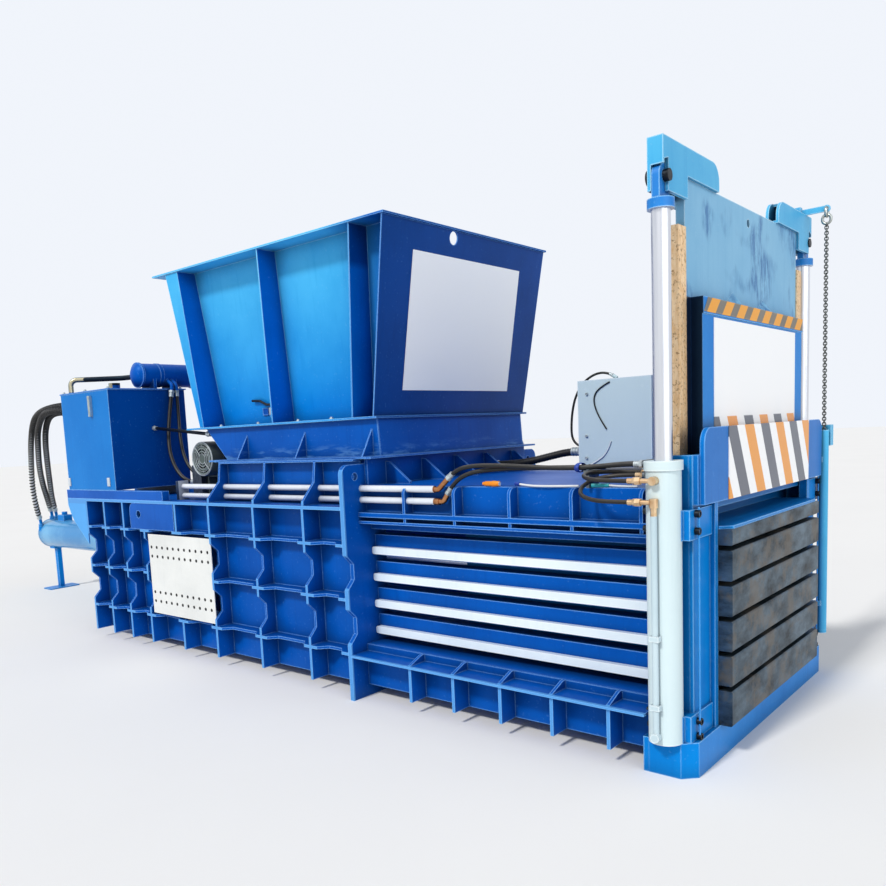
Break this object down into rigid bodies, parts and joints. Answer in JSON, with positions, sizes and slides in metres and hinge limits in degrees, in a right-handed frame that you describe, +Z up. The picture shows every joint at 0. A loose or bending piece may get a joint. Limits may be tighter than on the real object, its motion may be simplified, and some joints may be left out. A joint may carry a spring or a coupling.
{
  "type": "recycling baler",
  "caption": "Horizontal recycling baler: ribbed press box with flared feed hopper, long main cylinder with ram, tie-slotted bale chamber, lifting discharge gate and hydraulic power unit",
  "frame": {"origin": "floor level under the middle keel, on the centre line of the bale chamber", "axes": "+X runs along the machine toward the discharge gate, +Z is up, +Y is the side away from the hose clamps on the gate cylinder"},
  "size_m": [8.045, 2.2448, 2.841],
  "materials": {
    "blue_paint": "gloss",
    "light_blue_paint": "gloss",
    "pale_blue_paint": "gloss",
    "white_paint": "satin",
    "zinc_sheet": "matt",
    "sign_white": "gloss",
    "rod_chrome": "polished",
    "bare_steel": "worn",
    "greased_bar": "greasy",
    "cast_steel": "worn",
    "brass": "satin",
    "dark_paint": "satin",
    "grey_paint": "satin",
    "hose_rubber": "matt"
  },
  "bodies": {
    "frame": {"access_panels": "zinc_sheet", "barrel_clamps": "blue_paint", "bottom_bands": "blue_paint", "cabinet_body": "grey_paint", "cabinet_conduit": "hose_rubber", "cable_bundle": "hose_rubber", "chain_tube": "light_blue_paint", "chamber_roof": "blue_paint", "cylinder_flanges": "blue_paint", "fan_cover": "dark_paint", "filter_drum": "light_blue_paint", "floor_plate": "blue_paint", "frame_signs": "sign_white", "front_feed_wall": "blue_paint", "gate_base": "blue_paint", "gate_head": "blue_paint", "gate_hose_a": "hose_rubber", "gate_hose_b": "hose_rubber", "gate_posts": "blue_paint", "hopper_base": "blue_paint", "hopper_shell": "blue_paint", "hose_rack": "blue_paint", "lift_barrels": "pale_blue_paint", "lift_plumbing": "brass", "long_pipes": "white_paint", "lug_plates": "blue_paint", "main_barrel": "light_blue_paint", "manifold": "cast_steel", "motor_body": "dark_paint", "near_hose_a": "hose_rubber", "near_hose_b": "hose_rubber", "portal_plates": "blue_paint", "pump_set": "cast_steel", "rear_deck": "blue_paint", "rear_walls": "blue_paint", "side_beams": "blue_paint", "side_rails": "white_paint", "t_stand": "blue_paint", "tank_body": "blue_paint", "tank_hose_a": "hose_rubber", "tank_hose_b": "hose_rubber", "tank_hose_c": "hose_rubber", "tank_lid": "light_blue_paint", "top_bands": "blue_paint", "unit_hose_a": "hose_rubber", "unit_hose_b": "hose_rubber", "upper_feed_walls": "blue_paint"},
    "ram": {"ram_body": "light_blue_paint", "platen_blocks": "cast_steel", "main_rod": "rod_chrome"},
    "gate": {"gate_slab": "blue_paint", "gate_sign": "sign_white", "gate_guides": "greased_bar", "gate_ears": "blue_paint", "gate_pins": "bare_steel", "lift_rods": "rod_chrome", "hang_chain": "bare_steel"},
    "cabinet_door": {"cabinet_door": "grey_paint"},
    "rotor": {"motor_rotor": "bare_steel"}
  },
  "joints": [
    {"name": "ram_stroke", "type": "slide", "parent": "frame", "child": "ram", "axis": [1, 0, 0], "range_m": [-3.6, 0]},
    {"name": "gate_lift", "type": "slide", "parent": "frame", "child": "gate", "axis": [0, 0, 1], "range_m": [-1.01, 0]},
    {"name": "door_hinge", "type": "hinge", "parent": "frame", "child": "cabinet_door", "pos_m": [2.792, 0.719, 1.6], "axis": [0, 0, 1], "range_deg": [0, 110]},
    {"name": "motor_spin", "type": "hinge", "parent": "frame", "child": "rotor", "pos_m": [0.229, -0.4, 1.469], "axis": [0, 1, 0], "continuous": true}
  ],
  "couplings": [
    {"joint": "gate_lift", "follows": "ram_stroke", "ratio": 0.2805}
  ]
}
